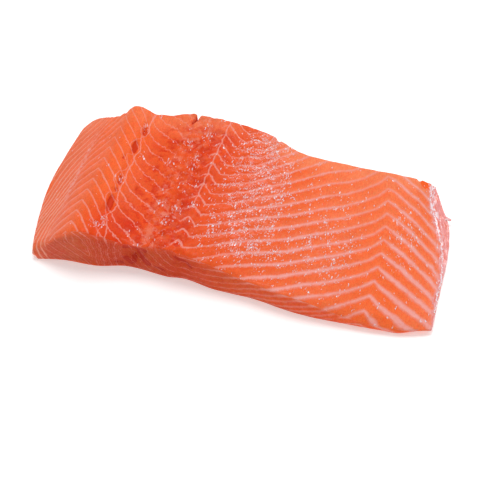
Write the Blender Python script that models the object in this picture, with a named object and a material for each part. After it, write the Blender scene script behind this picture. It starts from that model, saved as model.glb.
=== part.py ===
# Raw salmon fillet: one portion cut straight across the side of the fish, skin off.
# Modelled from a datum on the flesh, in millimetres: +X runs from the back of the fish to its
# belly edge, +Y from the front cut to the rear cut and +Z up from the table. The last step
# scales the piece to metres and stands the middle of its box on the origin.

import math

import bmesh
import bpy
import numpy as np
from mathutils import Vector, noise

MM = 0.001

# Mesh spacing
COLUMN_SPANS = ((-87.0, -62.0, 2.1), (-62.0, -50.0, 1.35), (-50.0, -16.0, 1.6), (-16.0, 78.0, 1.85))
ROW_COUNT = 41
WALL_RINGS = 4

# Plan outline: the two cuts as (x, y), the back edge as an arc between its corners, and the
# belly edge as (share of the way from the front cut to the rear cut, x)
FRONT_CUT = ((-86, -23.2), (-65, -22), (-39, -19.3), (-22, -20), (2, -22.6), (20, -25.2), (44, -26.6),
             (62, -26.2), (77, -22.6))
REAR_CUT = ((-85, 47), (-68, 45.4), (-62, 48.5), (-53, 48.8), (-40, 52.1), (-24, 49), (-2, 50.4),
            (14, 46.8), (33, 44.4), (56, 45.1), (70, 46.4))
BACK_CORNER_X = -84.2
BACK_BULGE = 5.8
BELLY_EDGE = ((0.0, 76.4), (0.25, 77.5), (0.5, 78.6), (0.73, 77.6), (0.86, 74.0), (1.0, 69.8))
EDGE_REACH = 24.0

# Height of the top face at the two cuts as (x, z): back edge, loin ridge, pin bone valley,
# swelling beside the midline, belly, thin belly edge
FRONT_HEIGHT = ((-89, 3), (-78, 12), (-72, 18), (-65, 22.6), (-57, 22), (-47, 17.6), (-39, 17),
                (-28, 18.2), (-13, 16), (2, 12.5), (26, 10.6), (50, 6.4), (70, 4), (79, 2.4))
REAR_HEIGHT = ((-89, 3), (-82, 8), (-76, 12), (-69, 14.8), (-60, 20), (-51, 16.4), (-45, 15.2),
               (-34, 18), (-22, 20.2), (-5, 15), (10, 9.8), (33, 10.6), (62, 8), (71, 3.4), (79, 2))

# Walls: how far each side's base stands in from its rim, and the tip in front that lifts
# off the table
WALL_BULGE = 0.4
REAR_TUCK = 0.8
BACK_TUCK = 2.4
BELLY_TUCK = 0.7
FRONT_BASE = ((-84, -0.7), (-72, 0.7), (-58, -0.2), (-47, 0.9), (-30, -0.9), (-22, 0.2), (-10, -0.9),
              (7, 0.2), (28, 0), (45, 0.8), (58, 1), (64, 0.3), (76, 0.6))
TIP_LIFT = 2.2
TIP_LIFT_SHARE = 0.6
TIP_SPAN_X = (62.0, 76.0)
TIP_SPAN_Y = (-12.0, -22.0)
RIM_SMOOTHING = 2

# Flakes: the muscle segments between the fat lines. Each row is a station on X with the Y of
# the fat line counted as number zero there and the step from one line to the next.
FLAKE_STATIONS = ((-90, -52, 4.6), (-76, -26, 4.6), (-70, -22.9, 5.45), (-66, -23.5, 5.95),
                  (-60, -31.5, 6.2), (-55, -40, 6.3), (-50, -41.7, 5.9), (-40, -50.5, 6.15),
                  (-24, -52.7, 5.6), (-20, -53.8, 5.35), (-14, -47.5, 5.0), (0, -44.5, 5.6),
                  (10, -44, 6.12), (20, -40.9, 6.33), (35, -33.2, 6.3), (50, -23.5, 6.45),
                  (52, -22.3, 6.6), (60, -26.8, 6.5), (70, -32, 6.45), (79, -40, 6.1))
FLAKE_RELIEF = 0.32
FLAKE_SPAN = (-78.0, -73.0)

# The row of pits that the pulled pin bones left, in a shallow groove. Each pit is x, y,
# half width, half length and depth.
PIN_BONE_X = -55.7
PIN_BONE_LEAN = 0.06
PIN_BONE_GROOVE = 0.5
PIN_BONE_HALF = 2.6
PIN_BONE_REACH = 7.0
PIN_BONE_PITS = ((-56, -4, 1.5, 4.5, 1.7), (-56, 8, 1.2, 3.6, 1.2), (-57.5, 19, 1.1, 2.4, 0.8),
                 (-55, 27, 1.4, 3.6, 1.4), (-54, 37, 1.2, 3.0, 1.1))

# Torn flesh beside the midline
TORN_START = (-43.0, -36.0)
TORN_END = (-22.0, -15.0)
TORN_RELIEF = 0.7
TORN_GRAIN = 3.2

# Tear in the rear cut, and nicks there as x, half width and depth
TEAR_X = -34.0
TEAR_HALF = 1.7
TEAR_LENGTH = 8.0
TEAR_DEPTH = 5.0
TEAR_PULL = 2.6
NICKS = ((1.2, 1.3, 1.3), (-64.8, 1.5, 1.2), (62.5, 1.3, 1.1))

# Hollow and open flake in the front cut, as x, half width and depth, with the share of the
# wall's height that they lie at
FRONT_DENTS = ((-42.0, 5.0, 1.8), (-21.5, 3.2, 0.9))
DENT_DOWN = 0.35
DENT_HALF = 0.33

FLESH_COLOUR = (0.90, 0.19, 0.065, 1.0)
FLESH_ROUGHNESS = 0.32
SHARP_EDGE_DEGREES = 50


def clear_scene():
    for item in list(bpy.data.objects):
        bpy.data.objects.remove(item, do_unlink=True)


def smooth_line(points, x):
    """Height at x of the smooth curve through the points."""
    px = [point[0] for point in points]
    py = [point[1] for point in points]
    x = min(max(x, px[0]), px[-1])
    i = max(n for n in range(len(px) - 1) if px[n] <= x or n == 0)
    slopes = []
    for n in (i, i + 1):
        low = max(n - 1, 0)
        high = min(n + 1, len(px) - 1)
        slopes.append((py[high] - py[low]) / (px[high] - px[low]))
    run = px[i + 1] - px[i]
    t = (x - px[i]) / run
    rise = py[i + 1] - py[i]
    ease = t * t * (3 - 2 * t)
    bend_in = t * (1 - t) * (1 - t)
    bend_out = t * t * (t - 1)
    return py[i] + rise * ease + run * (slopes[0] * bend_in + slopes[1] * bend_out)


def bell(distance, half):
    """1 in the middle of a feature, falling smoothly to 0 at its half size."""
    reach = min(abs(distance) / half, 1.0)
    return (1 - reach * reach) ** 2


def fade(x, span):
    """0 before the span, 1 after it, with a smooth change between."""
    t = min(max((x - span[0]) / (span[1] - span[0]), 0.0), 1.0)
    return t * t * (3 - 2 * t)


def column_positions():
    """X of each column of the top face, closer together where the flesh is uneven."""
    columns = [COLUMN_SPANS[0][0]]
    for start, end, spacing in COLUMN_SPANS:
        count = round((end - start) / spacing)
        columns += [start + (end - start) * (n + 1) / count for n in range(count)]
    return columns


def plan_x(column, v):
    """X of a column at the share v of the way from the front cut to the rear cut."""
    first = COLUMN_SPANS[0][0]
    last = COLUMN_SPANS[-1][1]
    back_edge = BACK_CORNER_X - BACK_BULGE * math.sin(math.pi * v)
    belly_edge = smooth_line(BELLY_EDGE, v)
    near_back = max(0.0, 1 - (column - first) / EDGE_REACH) ** 2
    near_belly = max(0.0, 1 - (last - column) / EDGE_REACH) ** 2
    return column + (back_edge - first) * near_back + (belly_edge - last) * near_belly


def plan_y(x, v):
    """Y at the share v of the way from the front cut to the torn and nicked rear cut."""
    front = smooth_line(FRONT_CUT, x)
    rear = smooth_line(REAR_CUT, x) - TEAR_PULL * bell(x - TEAR_X, TEAR_HALF)
    rear -= sum(depth * bell(x - place, half) for place, half, depth in NICKS)
    return front + (rear - front) * v


def flake_phase(x, y):
    """Counts the fat lines crossed on the way to a point: a whole number lies on a line."""
    xs = [row[0] for row in FLAKE_STATIONS]
    zero = np.interp(x, xs, [row[1] for row in FLAKE_STATIONS])
    spacing = np.interp(x, xs, [row[2] for row in FLAKE_STATIONS])
    return (y - zero) / spacing


def flake_relief(x, y):
    """Each flake swells a little between its two fat lines, fading out at the pin bones."""
    across = flake_phase(x, y) % 1.0
    swell = 1 - (2 * across - 1) ** 2
    clear = 1 - bell(x - PIN_BONE_X, PIN_BONE_REACH)
    return FLAKE_RELIEF * swell * clear * fade(x, FLAKE_SPAN)


def pin_bone_relief(x, y):
    depth = PIN_BONE_GROOVE * bell(x - PIN_BONE_X - PIN_BONE_LEAN * y, PIN_BONE_HALF)
    for pit_x, pit_y, half_width, half_length, pit_depth in PIN_BONE_PITS:
        depth += pit_depth * bell(x - pit_x, half_width) * bell(y - pit_y, half_length)
    return -depth


def torn_relief(x, y):
    torn = fade(x, TORN_START) * (1 - fade(x, TORN_END))
    lumps = noise.noise(Vector((x, y, 0)) / TORN_GRAIN)
    rear = smooth_line(REAR_CUT, x)
    tear = bell(x - TEAR_X, TEAR_HALF) * fade(y, (rear - TEAR_LENGTH, rear))
    return TORN_RELIEF * torn * lumps - TEAR_DEPTH * tear


def top_height(x, v):
    """Height of the top face, blended from the front cut's outline to the rear cut's."""
    y = plan_y(x, v)
    form = smooth_line(FRONT_HEIGHT, x) * (1 - v) + smooth_line(REAR_HEIGHT, x) * v
    return form + flake_relief(x, y) + pin_bone_relief(x, y) + torn_relief(x, y)


def top_grid(bm):
    """The vertices of the top face, as columns that run from the front cut to the rear cut."""
    grid = []
    for column in column_positions():
        line = []
        for row in range(ROW_COUNT + 1):
            v = row / ROW_COUNT
            x = plan_x(column, v)
            line.append(bm.verts.new((x, plan_y(x, v), top_height(x, v))))
        grid.append(line)
    return grid


def add_top_face(bm, grid):
    """Splits each square of the top along the run of its flake, so that the ridges stay whole."""
    for i in range(len(grid) - 1):
        for j in range(ROW_COUNT):
            near, right, far, left = grid[i][j], grid[i + 1][j], grid[i + 1][j + 1], grid[i][j + 1]
            climb = flake_phase(near.co.x, near.co.y) - flake_phase(right.co.x, near.co.y)
            if climb > 0:
                bm.faces.new((near, right, far))
                bm.faces.new((near, far, left))
            else:
                bm.faces.new((near, right, left))
                bm.faces.new((right, far, left))


def rim_of(grid):
    """The top face's rim in order round the piece, from the front cut to the belly edge."""
    rim = [line[0] for line in grid]
    rim += grid[-1][1:]
    rim += [line[-1] for line in reversed(grid[:-1])]
    rim += reversed(grid[0][1:-1])
    return rim


def outward_directions(rim):
    """The direction square to the rim, seen from above, at each of its points."""
    directions = []
    for n in range(len(rim)):
        ahead = rim[(n + RIM_SMOOTHING) % len(rim)].co
        behind = rim[n - RIM_SMOOTHING].co
        along = (ahead - behind).to_2d().normalized()
        directions.append(Vector((along.y, -along.x)))
    return directions


def wall_point(top, outward, down):
    """A point of the wall under a rim vertex; down is 0 at the rim and 1 at the base."""
    x, y, z = top
    front = max(-outward.y, 0.0)
    tuck = BACK_TUCK * max(-outward.x, 0.0) + BELLY_TUCK * max(outward.x, 0.0)
    tuck = (tuck + REAR_TUCK * max(outward.y, 0.0)) * down ** 3
    tuck += front * smooth_line(FRONT_BASE, x) * down
    for place, half, depth in FRONT_DENTS:
        tuck += front * depth * bell(x - place, half) * bell(down - DENT_DOWN, DENT_HALF)
    out = outward * (WALL_BULGE * math.sin(math.pi * down) - tuck)
    tip = fade(x, TIP_SPAN_X) * fade(y, TIP_SPAN_Y)
    lift = min(TIP_LIFT * tip, TIP_LIFT_SHARE * z) * down
    return x + out.x, y + out.y, z * (1 - down) + lift


def add_walls(bm, rim):
    """Carries the rim down to the table in rings, and closes the underside."""
    outward = outward_directions(rim)
    ring = rim
    for n in range(1, WALL_RINGS + 1):
        down = n / WALL_RINGS
        below = [bm.verts.new(wall_point(vert.co, out, down)) for vert, out in zip(rim, outward)]
        for a in range(len(ring)):
            b = (a + 1) % len(ring)
            bm.faces.new((ring[a], below[a], below[b], ring[b]))
        ring = below
    bm.faces.new(list(reversed(ring)))


def build_fillet():
    bm = bmesh.new()
    grid = top_grid(bm)
    add_top_face(bm, grid)
    add_walls(bm, rim_of(grid))
    bmesh.ops.recalc_face_normals(bm, faces=bm.faces)
    return bm


def stand_on_origin(bm):
    """Turns millimetres to metres, with the middle of the box's floor on the origin."""
    low = np.min([vert.co for vert in bm.verts], axis=0)
    high = np.max([vert.co for vert in bm.verts], axis=0)
    base = Vector(((low[0] + high[0]) / 2, (low[1] + high[1]) / 2, low[2]))
    bmesh.ops.translate(bm, vec=-base, verts=bm.verts)
    bmesh.ops.scale(bm, vec=(MM, MM, MM), verts=bm.verts)


def flesh_material():
    material = bpy.data.materials.new("salmon_flesh")
    material.use_nodes = True
    shader = material.node_tree.nodes["Principled BSDF"]
    shader.inputs["Base Color"].default_value = FLESH_COLOUR
    shader.inputs["Roughness"].default_value = FLESH_ROUGHNESS
    shader.inputs["Metallic"].default_value = 0.0
    material.diffuse_color = FLESH_COLOUR
    return material


def main():
    clear_scene()
    bm = build_fillet()
    stand_on_origin(bm)
    mesh = bpy.data.meshes.new("salmon_fillet")
    bm.to_mesh(mesh)
    bm.free()
    mesh.materials.append(flesh_material())
    mesh.shade_smooth()
    mesh.set_sharp_from_angle(angle=math.radians(SHARP_EDGE_DEGREES))
    fillet = bpy.data.objects.new("salmon_fillet", mesh)
    bpy.context.scene.collection.objects.link(fillet)


main()
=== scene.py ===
# Raw salmon portion on a white table.
# The flesh is built in millimetres from a datum on the piece: x runs from the back of the fish
# to its belly edge, y from the front cut to the rear cut, z is up from the table.

import math
from types import SimpleNamespace
import bpy
import numpy as np
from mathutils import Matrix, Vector, noise


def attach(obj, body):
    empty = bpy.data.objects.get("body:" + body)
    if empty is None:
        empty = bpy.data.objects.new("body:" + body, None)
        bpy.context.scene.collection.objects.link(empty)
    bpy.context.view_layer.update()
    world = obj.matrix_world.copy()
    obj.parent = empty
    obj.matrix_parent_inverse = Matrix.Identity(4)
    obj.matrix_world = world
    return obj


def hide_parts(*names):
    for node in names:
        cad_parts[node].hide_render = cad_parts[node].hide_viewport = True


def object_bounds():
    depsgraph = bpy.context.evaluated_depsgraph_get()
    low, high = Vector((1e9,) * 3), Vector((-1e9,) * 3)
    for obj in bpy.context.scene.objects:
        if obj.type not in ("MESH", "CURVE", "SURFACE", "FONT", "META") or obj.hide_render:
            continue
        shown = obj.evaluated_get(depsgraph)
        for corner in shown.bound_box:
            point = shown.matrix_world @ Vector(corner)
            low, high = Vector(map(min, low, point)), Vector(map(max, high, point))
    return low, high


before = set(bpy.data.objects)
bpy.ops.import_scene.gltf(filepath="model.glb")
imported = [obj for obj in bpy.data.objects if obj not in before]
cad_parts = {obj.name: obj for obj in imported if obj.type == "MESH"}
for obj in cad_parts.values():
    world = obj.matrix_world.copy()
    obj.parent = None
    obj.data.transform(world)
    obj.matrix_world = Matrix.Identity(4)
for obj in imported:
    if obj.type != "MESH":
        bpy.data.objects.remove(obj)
cadLow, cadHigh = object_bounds()
mm = 0.001
salmonNode = "salmon_fillet"


# small helpers for shapes

def addObject(name, data):
    made = bpy.data.objects.new(name, data)
    bpy.context.scene.collection.objects.link(made)
    return made


def smoothLine(points, x):
    # smooth curve through (x, value) points, flat outside them
    px, py = np.array(points, float).T
    slopes = np.empty(len(px))
    slopes[1:-1] = (py[2:] - py[:-2]) / (px[2:] - px[:-2])
    slopes[0] = (py[1] - py[0]) / (px[1] - px[0])
    slopes[-1] = (py[-1] - py[-2]) / (px[-1] - px[-2])
    x = np.clip(x, px[0], px[-1])
    i = np.clip(np.searchsorted(px, x, side="right") - 1, 0, len(px) - 2)
    run = px[i + 1] - px[i]
    t = (x - px[i]) / run
    ease = t * t * (3 - 2 * t)
    bend = slopes[i] * t * (1 - t) ** 2 + slopes[i + 1] * t * t * (t - 1)
    return py[i] + (py[i + 1] - py[i]) * ease + run * bend


def bell(distance, half):
    reach = np.minimum(np.abs(distance) / half, 1.0)
    return (1 - reach * reach) ** 2


def fade(x, start, end):
    t = np.clip((x - start) / (end - start), 0.0, 1.0)
    return t * t * (3 - 2 * t)


def lumps(points, grain, seed=0.0):
    # soft noise from -1 to 1 at each point, grain in the points' own unit
    flat = np.reshape(points, (-1, 3)) / grain + seed
    values = [noise.noise(Vector(p)) for p in flat]
    return np.reshape(values, np.shape(points)[:-1])


# the fillet's form, in millimetres
fillet = {
    "spacing": 0.56,          # between mesh points on the top
    "frontToRear": 72,
    "wallRings": 14,
    "sharpAngle": 52,         # degrees, edges above it are drawn sharp
    "softRimX": -76,          # but not the ones behind this x
    "backX": -87.0,
    "bellyX": 78.0,
    "frontCut": ((-86, -23.2), (-65, -22), (-39, -19.3), (-22, -20), (2, -22.6), (20, -25.2),
                 (44, -26.6), (62, -26.2), (77, -22.6)),
    "rearCut": ((-85, 47), (-68, 45.4), (-62, 48.5), (-53, 48.8), (-40, 52.1), (-24, 49),
                (-2, 50.4), (14, 46.8), (33, 44.4), (56, 45.1), (70, 46.4)),
    "backCorner": -84.2,
    "backBulge": 5.8,
    "rearCorner": {"reach": 6, "cut": 1.8},
    "bellyEdge": ((0.0, 76.4), (0.25, 77.5), (0.5, 78.6), (0.73, 77.6), (0.86, 74.0), (1.0, 69.8)),
    "edgeReach": 24.0,
    "frontHeight": ((-89, 3), (-78, 12), (-72, 18), (-65, 22.6), (-57, 22), (-47, 17.6), (-39, 17),
                    (-28, 18.2), (-13, 16), (2, 12.5), (26, 10.6), (50, 6.4), (70, 4), (79, 2.4)),
    "rearHeight": ((-89, 3), (-82, 8), (-76, 12), (-69, 14.8), (-60, 20), (-51, 16.4), (-45, 15.2),
                   (-34, 18), (-22, 20.2), (-5, 15), (10, 9.8), (33, 10.6), (62, 8), (71, 3.4),
                   (79, 2)),
    "frontBase": ((-84, -0.7), (-72, 0.7), (-58, -0.2), (-47, 0.9), (-30, -0.9), (-22, 0.2),
                  (-10, -0.9), (7, 0.2), (28, 0), (45, 0.8), (58, 1), (64, 0.3), (76, 0.6)),
    "tuck": {"rear": 0.8, "back": 2.4, "belly": 0.7},
    "wallBulge": 0.4,
    "tipLift": 2.2,
    # each pit: x, y, half sizes, depth, how dark
    "pits": ((-55.9, -4.2, 1.7, 6.0, 0.8, 1.0), (-55.8, 8.2, 1.2, 3.8, 0.6, 0.6),
             (-55.7, 3.2, 1.1, 1.6, 0.4, 0.6), (-57.5, 19.8, 1.0, 2.4, 0.4, 0.5),
             (-55.3, 27.3, 1.5, 4.8, 0.75, 0.9), (-53.9, 37, 1.4, 3.9, 0.6, 0.6),
             (-48.6, 7.2, 1.0, 1.9, 0.4, 0.5), (-58, -16, 1.0, 1.3, 0.3, 0.2)),
    "pinBoneX": -55.7,
    "groove": 0.5,
    "flakeSwell": 0.32,
    "tornLumps": 0.7,
    "tear": {"x": -34.0, "half": 1.1, "length": 7.5, "depth": 3.2, "pull": 1.3, "lean": 0.35},
    # x, half width and depth of the nicks in the rear rim and the dents in the front cut
    "nicks": ((1.2, 1.3, 1.3), (-64.8, 1.5, 1.2), (62.5, 1.3, 1.1)),
    "dents": ((-42.0, 5.0, 1.8), (-21.5, 3.2, 0.9)),
    # dark marks on the front cut: the first is painted shade in the hollow under the rim, the rest are red
    # gashes
    "gashesAndShade": ((-45.5, 15.2, -38, 14.4, 1.2, 0.95), (-46.5, 8, -44.3, 4.5, 1.4, 0.75),
               (-50.2, 4.2, -48.2, 3.4, 1.0, 0.75), (-40.2, 11.5, -37, 6, 1.7, 0.66),
               (-42.4, 8.5, -43, 5, 1.2, 0.7), (-25.2, 15, -19, 11, 0.8, 0.95),
               (-34, 5.5, -30, 4.5, 0.9, 0.75)),   # on the front cut: x, z to x, z, half width, share
    # places where the painted white glints cluster
    "glints": ((-34.5, 35, 2.2), (-26.5, 39.5, 2.6), (-28, 44.5, 2.0), (-29, 27, 2.4), (-29, 22, 2.0),
               (-28, 12.5, 2.8), (-30, 0, 2.6), (-33, -6, 2.2), (-38, 3, 1.6), (-54.4, 39.6, 1.8),
               (-51.5, 24, 1.6), (-55.6, 8.6, 1.8), (-58, -16, 2.4), (-56, -12, 2.0), (-40, 24, 1.8),
               (-24, 4, 1.8)),   # x, y, half size
    "flap": (65.4, 44.6, 2.4),
    "thread": {"root": (75.7, 31.8), "reach": (2.5, -0.9, 0.3), "half": 0.85, "rings": 15, "sides": 12},
    # wetter patches on top, which get more coat and more painted glints: straightened x, half length, y, half
    # width, share
    "wetPatches": ((27, 16, -4, 20, 0.3), (61, 9, 16, 24, 0.4), (-4, 11, 34, 14, 0.42), (2, 8, 4, 8, 0.3)),
}

# Fat lines: y of the second, seventh and twelfth line at each station along the straightened x
fatStations = (
    (-90, -45, -18.5, 4.7), (-79, -24.3, 2.8, 25.4), (-76, -19, 8.8, 32.1), (-73, -15, 13, 39.1),
    (-70, -13.1, 15.9, 44.9), (-66.6, -10.4, 19.1, 50.8), (-63, -14, 14.6, 44.7),
    (-57, -21.7, 7.4, 37.2), (-53, -25.9, 2.6, 30.9), (-50, -27.6, -0.3, 28.2),
    (-45, -30.8, -2.7, 26.2), (-40, -35.9, -6.4, 22.5), (-31, -42.4, -12.8, 15.8),
    (-25.4, -46.8, -16.8, 12.0), (-22.8, -44.1, -14.1, 14.6), (-18.5, -46.2, -17.1, 10.7),
    (-15, -44.9, -15.2, 12.1), (-11, -42.7, -12.9, 14.7), (-6, -39.7, -9.3, 17.6), (0, -36.2, -5.3, 22.9),
    (8, -32.8, -1.8, 28.6), (16, -29.5, 1.3, 33.7), (25, -24.8, 5.8, 39), (34, -20.9, 10.1, 41.8),
    (42, -16.3, 15.1, 47.5), (48, -12.5, 19.2, 51.8), (52.4, -8.6, 24.3, 54.6),
    (55, -10.6, 23.1, 53.9), (61, -14, 19.4, 47.6), (67, -17.4, 15.7, 44.4),
    (73, -20.2, 11.7, 39.7), (79, -23.3, 4.2, 32.6),
)
# Folds that the lines turn at: straightened x, lean and bow as they run from front to rear
folds = ((-90, 0.04, 0), (-66.6, 0.055, 0), (-55, 0.06, 0), (-40, 0.07, 0), (-22.8, 0.094, 0),
         (-18.5, 0.138, 0), (0, 0.05, 0), (15, 0, 0), (40, 0, 0), (52.4, 0, 0.0025),
         (64, 0, 0.001), (82, 0, 0))


def foldPlace(fold, y):
    at, lean, bow = fold
    return at + lean * (y - 12) - bow * (y - 8) ** 2


def straighten(x, y):
    # x with the lean of the folds taken out
    result = np.array(x, float)
    for a, b in zip(folds, folds[1:]):
        share = (x - foldPlace(a, y)) / (foldPlace(b, y) - foldPlace(a, y))
        result = np.where((share >= 0) & (share < 1), a[0] + share * (b[0] - a[0]), result)
    return result


def countLines(x, y, depth):
    # how many fat lines lie before a point, with the lines slanting as they go down
    u = straighten(x, y)
    inLoin = 1 - fade(u, -50, -38)
    inBelly = fade(u, -24, -8)
    u = straighten(x - 0.42 * inLoin * depth, y)
    y = y + (0.72 * inLoin - 1.25 * inBelly) * depth
    at, y2, y7, y12 = (np.interp(u, [s[0] for s in fatStations], [s[n] for s in fatStations])
                       for n in range(4))
    bend = (y2 - 2 * y7 + y12) / 50          # y = y7 + pace * (count - 7) + bend * (count - 7)^2
    pace = (y12 - y2) / 10
    step = (y - y7) / pace
    for _ in range(5):
        slope = np.maximum(pace + 2 * bend * step, 2.5)
        step = step - (y7 + pace * step + bend * step ** 2 - y) / slope
    return u, step + 7


def countSlopeLines(x, y, depth):
    # the close lines on the slope of the back, which turn upright towards the front cut
    steep = np.interp(y, (2, 24), (2.2, 1.05))
    upright = 0.04 * np.maximum(-8 - y, 0) ** 2
    return (y + upright - steep * (x + 76 - 0.2 * depth)) / 4.5


def countOnCut(x, z):
    # lines on the two cut faces: rings in the loin, arcs under the midline, slanting in the belly
    leftArm = np.interp(z, (0, 3.5, 8, 15), (-55.5, -57.8, -62, -68.5))
    left = np.interp(leftArm - x, (-4, 0, 5, 12, 16.5, 20, 26), (0.5, 1, 2, 3, 4, 5, 7))
    rightArm = np.interp(z, (13, 18.5, 21, 24), (-60.4, -62.5, -65, -68))
    right = 1 + (x - rightArm) / (2.6 + 0.13 * np.maximum(0, z - 13))
    rings = np.maximum(np.maximum(left, right), 0.5)
    arcs = 2.4 * np.hypot((x + 19) / 9, (z - 20) / 8.5) + 0.2
    level = smoothLine(((-26, 0), (-17, 0.4), (-10, 1.3), (-5, 2.6), (0, 4.3), (5, 6.6), (20, 13.2),
                        (35, 20.5), (45, 27), (55, 35), (79, 60)), x)
    belly = (z - level - 1.1) / 3.5
    return np.where(x < -46, rings, np.where(x < -25, arcs, belly))


def outline(columns, v):
    f = fillet
    backEdge = f["backCorner"] - f["backBulge"] * np.sin(np.pi * v)
    nearBack = np.maximum(0, 1 - (columns - f["backX"]) / f["edgeReach"]) ** 2
    nearBelly = np.maximum(0, 1 - (f["bellyX"] - columns) / f["edgeReach"]) ** 2
    x = columns + (backEdge - f["backX"]) * nearBack
    x = x + (smoothLine(f["bellyEdge"], v) - f["bellyX"]) * nearBelly
    front = smoothLine(f["frontCut"], x)
    rear = smoothLine(f["rearCut"], x) - f["tear"]["pull"] * bell(x - f["tear"]["x"], f["tear"]["half"])
    for place, half, depth in f["nicks"]:
        rear = rear - depth * bell(x - place, half)
    y = front + (rear - front) * v
    # the rear corner of the back is rounded off
    reach, cut = f["rearCorner"]["reach"], f["rearCorner"]["cut"]
    nearCorner = np.maximum(0, 1 - (x - backEdge) / reach) * np.maximum(0, 1 - (rear - y) / reach)
    return x + cut * nearCorner ** 2, y - cut * nearCorner ** 2


def pitShape(x, y):
    # depth and darkness of the pin bone pits: steep sided, with a floor, leaning with the row
    depth, dark = 0, 0
    for atX, atY, halfWidth, halfLength, deep, shade in fillet["pits"]:
        inside = bell(x - atX + 0.08 * (y - atY), halfWidth) * bell(y - atY, halfLength)
        depth = depth + deep * fade(inside, 0.02, 0.6)
        dark = dark + shade * fade(inside, 0.08, 0.45)
    return depth, dark


def tearDepth(x, y):
    t = fillet["tear"]
    rear = smoothLine(fillet["rearCut"], x)
    away = x - t["x"] + t["lean"] * (rear - y)
    return t["depth"] * bell(away, t["half"]) * fade(y, rear - t["length"], rear - 0.4 * t["length"])


membraneEdge = ((-20, 76.2), (-8, 75.6), (0, 76.3), (8, 75.8), (15, 75), (20, 73.8), (25, 72),
                (30, 70.4), (35, 68.4), (40, 67.4), (46, 67.3))


def topSurface(x, y, v):
    f = fillet
    z = smoothLine(f["frontHeight"], x) * (1 - v) + smoothLine(f["rearHeight"], x) * v
    u, count = countLines(x, y, 0.0)
    flat = np.stack([x, y, np.zeros_like(x)], -1)
    across = count % 1.0
    clear = (1 - bell(x - f["pinBoneX"], 7.0)) * fade(x, -78, -73)
    z = z + f["flakeSwell"] * (1 - (2 * across - 1) ** 2) * clear
    z = z - f["groove"] * bell(x - f["pinBoneX"] - 0.06 * y, 2.6) - pitShape(x, y)[0]
    torn = fade(x, -43, -36) * (1 - fade(x, -22, -15))
    z = z + torn * (f["tornLumps"] * lumps(flat, 3.2) + 0.35 * lumps(flat, 1.4, 7.0))
    z = z - tearDepth(x, y)
    # fat lines stand a little proud in the belly, with a small cliff on their front side
    belly = fade(u, -16, 4)
    line = np.abs((count + 0.5) % 1.0 - 0.5) * 6
    z = z + 0.16 * belly * bell(line, 1.3)
    z = z + 0.10 * lumps(flat, 2.2, 3.0) + 0.05 * lumps(flat, 1.1, 5.0) * belly
    # wrinkled membrane on the belly edge
    inside = x - smoothLine(membraneEdge, y)
    skin = fade(inside, -0.8, 0.8)
    wrinkles = lumps(np.stack([inside, y / 7, np.zeros_like(x)], -1), 1.3, 11.0)
    z = z + skin * 0.45 * wrinkles + 0.35 * bell(inside, 1.2)
    # the front rim is soft, most of all near the belly edge
    soft = 0.5 + 1.0 * (1 - fade(x, -82, -74)) + 1.0 * fade(x, 22, 42) * (1 - fade(x, 60, 70))
    reach = 2.4 + 2.6 * fade(x, 22, 42)
    z = z - soft * np.maximum(0, 1 - (y - smoothLine(f["frontCut"], x)) / reach) ** 2
    return z


def wallPoints(rim, outward, down):
    f = fillet
    x, y, z = rim.T
    front = np.maximum(-outward[:, 1], 0)
    tuck = f["tuck"]["back"] * np.maximum(-outward[:, 0], 0)
    tuck = tuck + f["tuck"]["belly"] * np.maximum(outward[:, 0], 0)
    tuck = (tuck + f["tuck"]["rear"] * np.maximum(outward[:, 1], 0)) * down ** 3
    tuck = tuck + front * smoothLine(f["frontBase"], x) * down
    for place, half, depth in f["dents"]:
        tuck = tuck + front * depth * bell(x - place, half) * bell(down - 0.35, 0.33)
    for place, half, depth in f["nicks"]:
        tuck = tuck - np.maximum(outward[:, 1], 0) * depth * bell(x - place, half) * fade(down, 0.1, 0.7)
    rough = 0.22 * lumps(np.stack([x, y, z * (1 - down)], -1), 2.6, 2.0) * math.sin(math.pi * down)
    push = f["wallBulge"] * math.sin(math.pi * down) - tuck + rough
    low = z * (1 - down) + tipLift(x, y, z) * down
    return np.stack([x + outward[:, 0] * push, y + outward[:, 1] * push, low], -1)


def tipLift(x, y, z):
    # the front corner of the belly lifts off the table
    tip = fade(x, 62, 76) * fade(-y, 12, 22)
    return np.minimum(fillet["tipLift"] * tip, 0.6 * z)


def linePace(points, count):
    # millimetres of surface from one fat line to the next
    pa, pb = np.gradient(points, axis=0), np.gradient(points, axis=1)
    ka, kb = np.gradient(count, axis=0), np.gradient(count, axis=1)
    e, g, h = (pa * pa).sum(-1), (pa * pb).sum(-1), (pb * pb).sum(-1)
    area = np.maximum(e * h - g * g, 1e-9)
    steep = (h * ka * ka - 2 * g * ka * kb + e * kb * kb) / area
    return np.clip(1 / np.sqrt(np.maximum(steep, 1e-6)), 0.9, 9.0)


# how far down each ring of the walls is, closest together at the rim
ringDown = np.linspace(0, 1, fillet["wallRings"] + 1) ** 1.5


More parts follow.
